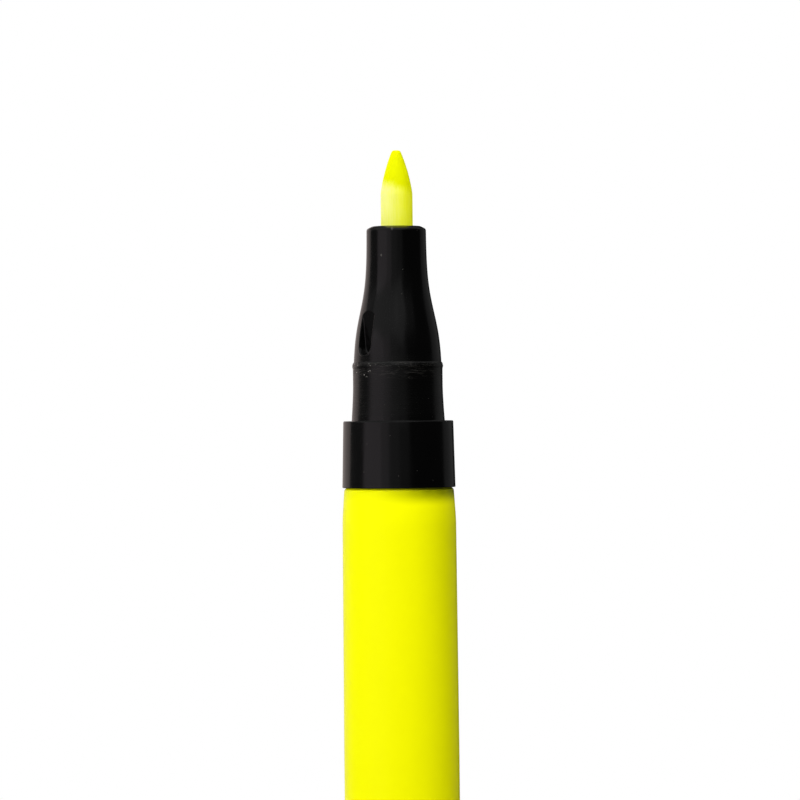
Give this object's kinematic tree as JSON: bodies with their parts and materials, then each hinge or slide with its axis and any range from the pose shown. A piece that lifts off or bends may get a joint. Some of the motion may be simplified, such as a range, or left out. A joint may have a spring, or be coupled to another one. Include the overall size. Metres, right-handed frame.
{
  "type": "highlighter",
  "caption": "Slim pen-style highlighter with a bullet nib, black neck, fluorescent barrel and a clip cap posted on its tail.",
  "frame": {"origin": "centre of the flat face of the cap's crown, which the pen stands on", "axes": "+Z along the pen's axis, from the posted cap towards the nib; the clip is on the -Y side"},
  "size_m": [0.011, 0.0129, 0.1535],
  "materials": {
    "barrel_plastic": "fluorescent yellow, satin gloss",
    "neck_plastic": "black, glossy",
    "nib_fibre": "bonded fibre, wet with fluorescent yellow ink",
    "reservoir_fibre": "bundled fibre, soaked with fluorescent yellow ink",
    "film": "thin clear film",
    "tube_plastic": "natural",
    "inner_cap_plastic": "natural, translucent"
  },
  "bodies": {
    "cap": {"cap_shell": "barrel_plastic", "inner_cap": "inner_cap_plastic"},
    "pen": {"barrel": "barrel_plastic", "neck": "neck_plastic", "nib": "nib_fibre", "reservoir_core": "reservoir_fibre", "reservoir_film": "film", "breather_tube": "tube_plastic", "end_plug": "neck_plastic"},
    "clip": {"clip": "barrel_plastic"}
  },
  "joints": [
    {"name": "cap_pull", "type": "slide", "parent": "cap", "child": "pen", "axis": [0, 0, 1], "range_m": [0, 0.035]},
    {"name": "clip_flex", "type": "hinge", "parent": "cap", "child": "clip", "pos_m": [0, -0.00635, 0.0036], "axis": [1, 0, 0], "range_deg": [0, 4], "stiffness_Nm_per_rad": 0.8}
  ]
}
